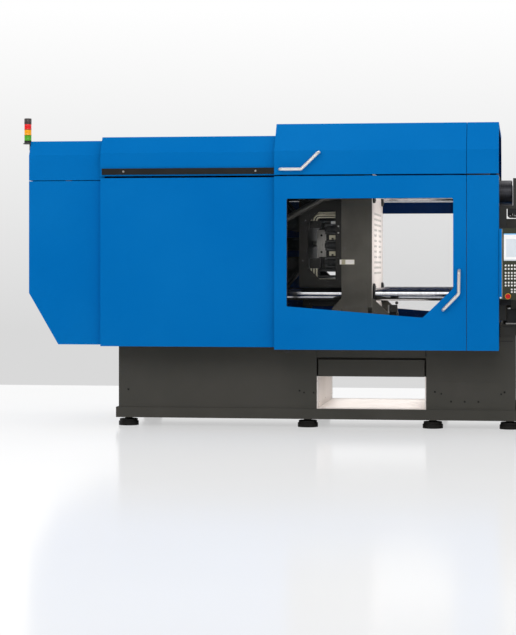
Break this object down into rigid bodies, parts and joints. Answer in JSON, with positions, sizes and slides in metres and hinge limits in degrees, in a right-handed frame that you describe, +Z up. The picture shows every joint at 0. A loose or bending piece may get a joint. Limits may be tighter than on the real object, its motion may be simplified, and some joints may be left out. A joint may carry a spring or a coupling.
{
  "type": "injection moulding machine",
  "caption": "Horizontal toggle-clamp injection moulding machine with sliding guards, open mould space and injection unit",
  "frame": {"origin": "centre of the footprint's bounding box at floor level", "axes": "+X along the machine towards the injection end, +Y to the rear side, +Z up"},
  "size_m": [8.01, 2.116, 2.533],
  "materials": {
    "guard_paint": "satin blue powder coat on sheet steel",
    "base_paint": "dark grey textured paint",
    "black_paint": "black satin paint",
    "platen_paint": "dark grey paint on cast iron",
    "machined_steel": "machined steel",
    "ground_chrome": "ground and hard chromed",
    "handle_steel": "brushed stainless tube",
    "liner_paint": "pale grey paint",
    "clear_pane": "clear safety sheet",
    "housing_plastic": "moulded black plastic",
    "display_glass": "lit display under glass",
    "stop_plastic": "red moulded plastic",
    "signal_lens": "coloured clear lenses",
    "band_steel": "stainless sheet"
  },
  "bodies": {
    "root": {"base_frame": "base_paint", "levelling_feet": "base_paint", "clamp_bed": "base_paint", "injection_bed": "base_paint", "bed_panels": "base_paint", "chute_liner": "liner_paint", "linear_rails": "machined_steel", "end_platen": "platen_paint", "fixed_platen": "platen_paint", "tie_bars": "ground_chrome", "tie_bar_nuts": "machined_steel", "end_platen_pins": "machined_steel", "crosshead_guides": "ground_chrome", "clamp_cylinder": "black_paint", "guard_frame": "base_paint", "door_rails": "black_paint", "end_guard": "guard_paint", "mid_guards": "guard_paint", "mid_hood": "guard_paint", "column_guard": "guard_paint", "signal_light": "signal_lens", "panel_arm": "base_paint", "service_box": "base_paint", "purge_hinge": "machined_steel"},
    "rear_link_upper": {"rear_link_upper": "platen_paint", "rear_link_pins_upper": "machined_steel"},
    "front_link_upper": {"front_link_upper": "platen_paint"},
    "moving_platen": {"moving_platen": "platen_paint", "platen_shoes": "platen_paint", "platen_pins": "machined_steel", "ejector_drive": "black_paint", "ejector_valves": "housing_plastic", "conduit": "housing_plastic"},
    "ejector": {"ejector_plate": "machined_steel"},
    "cross_link_upper": {"cross_link_upper": "platen_paint"},
    "crosshead": {"crosshead": "platen_paint", "crosshead_pins": "machined_steel", "clamp_rod": "ground_chrome"},
    "rear_link_lower": {"rear_link_lower": "platen_paint", "rear_link_pins_lower": "machined_steel"},
    "front_link_lower": {"front_link_lower": "platen_paint"},
    "cross_link_lower": {"cross_link_lower": "platen_paint"},
    "door_front": {"safety_door_front": "guard_paint", "door_pane_front": "clear_pane", "door_handle_front": "handle_steel"},
    "door_rear": {"safety_door_rear": "guard_paint", "door_pane_rear": "clear_pane", "door_handle_rear": "handle_steel"},
    "top_hood": {"top_hood": "guard_paint", "hood_handle": "handle_steel"},
    "control_panel": {"control_panel": "housing_plastic", "panel_display": "display_glass"},
    "stop_button": {"stop_button": "stop_plastic"},
    "injection_carriage": {"injection_carriage": "base_paint", "injection_barrel": "machined_steel", "heater_bands": "band_steel", "hopper": "band_steel"},
    "injection_drive": {"injection_drive": "base_paint"},
    "injection_screw": {"injection_screw": "machined_steel"},
    "purge_guard": {"purge_guard": "guard_paint"}
  },
  "joints": [
    {"name": "toggle_fold", "type": "hinge", "parent": "root", "child": "rear_link_upper", "pos_m": [-2.6683, 0, 1.675], "axis": [0, 1, 0], "range_deg": [0, 45.7]},
    {"name": "front_link_turn_upper", "type": "hinge", "parent": "rear_link_upper", "child": "front_link_upper", "pos_m": [-2.25915, 0, 2.14083], "axis": [0, 1, 0], "range_deg": [-92.4, 1]},
    {"name": "platen_turn", "type": "hinge", "parent": "front_link_upper", "child": "moving_platen", "pos_m": [-1.85, 0, 1.675], "axis": [0, 1, 0], "range_deg": [-1, 46.7]},
    {"name": "cross_link_turn_upper", "type": "hinge", "parent": "rear_link_upper", "child": "cross_link_upper", "pos_m": [-2.61347, 0, 1.94958], "axis": [0, 1, 0], "range_deg": [-92.4, 1]},
    {"name": "crosshead_turn", "type": "hinge", "parent": "cross_link_upper", "child": "crosshead", "pos_m": [-2.55863, 0, 1.675], "axis": [0, 1, 0], "range_deg": [-1, 46.7]},
    {"name": "rear_link_turn_lower", "type": "hinge", "parent": "root", "child": "rear_link_lower", "pos_m": [-2.6683, 0, 1.335], "axis": [0, 1, 0], "range_deg": [-46.7, 1]},
    {"name": "front_link_turn_lower", "type": "hinge", "parent": "rear_link_lower", "child": "front_link_lower", "pos_m": [-2.25915, 0, 0.86917], "axis": [0, 1, 0], "range_deg": [-1, 92.4]},
    {"name": "cross_link_turn_lower", "type": "hinge", "parent": "rear_link_lower", "child": "cross_link_lower", "pos_m": [-2.61347, 0, 1.06042], "axis": [0, 1, 0], "range_deg": [-1, 92.4]},
    {"name": "ejector_stroke", "type": "slide", "parent": "moving_platen", "child": "ejector", "axis": [1, 0, 0], "range_m": [0, 0.15]},
    {"name": "door_front_slide", "type": "slide", "parent": "root", "child": "door_front", "axis": [-1, 0, 0], "range_m": [0, 1.4]},
    {"name": "door_rear_slide", "type": "slide", "parent": "root", "child": "door_rear", "axis": [-1, 0, 0], "range_m": [0, 1.4]},
    {"name": "top_hood_slide", "type": "slide", "parent": "root", "child": "top_hood", "axis": [-1, 0, 0], "range_m": [0, 1.4]},
    {"name": "panel_swivel", "type": "hinge", "parent": "root", "child": "control_panel", "pos_m": [0.073, -0.87, 1.2], "axis": [0, 0, 1], "range_deg": [0, 35]},
    {"name": "stop_press", "type": "slide", "parent": "control_panel", "child": "stop_button", "axis": [0, 1, 0], "range_m": [0, 0.006], "stiffness_N_per_m": 800, "springref_m": -0.002},
    {"name": "carriage_slide", "type": "slide", "parent": "root", "child": "injection_carriage", "axis": [1, 0, 0], "range_m": [-0.25, 0.3]},
    {"name": "injection_stroke", "type": "slide", "parent": "injection_carriage", "child": "injection_drive", "axis": [-1, 0, 0], "range_m": [0, 0.3]},
    {"name": "screw_rotation", "type": "hinge", "parent": "injection_drive", "child": "injection_screw", "pos_m": [2.3, 0, 1.505], "axis": [1, 0, 0], "continuous": true},
    {"name": "purge_guard_lift", "type": "hinge", "parent": "root", "child": "purge_guard", "pos_m": [-0.092, 0, 1.719], "axis": [0, -1, 0], "range_deg": [0, 80]}
  ],
  "couplings": [
    {"joint": "front_link_turn_upper", "follows": "toggle_fold", "ratio": -2},
    {"joint": "platen_turn", "follows": "toggle_fold", "ratio": 1},
    {"joint": "cross_link_turn_upper", "follows": "toggle_fold", "ratio": -2},
    {"joint": "crosshead_turn", "follows": "toggle_fold", "ratio": 1},
    {"joint": "rear_link_turn_lower", "follows": "toggle_fold", "ratio": -1},
    {"joint": "front_link_turn_lower", "follows": "toggle_fold", "ratio": 2},
    {"joint": "cross_link_turn_lower", "follows": "toggle_fold", "ratio": 2}
  ]
}
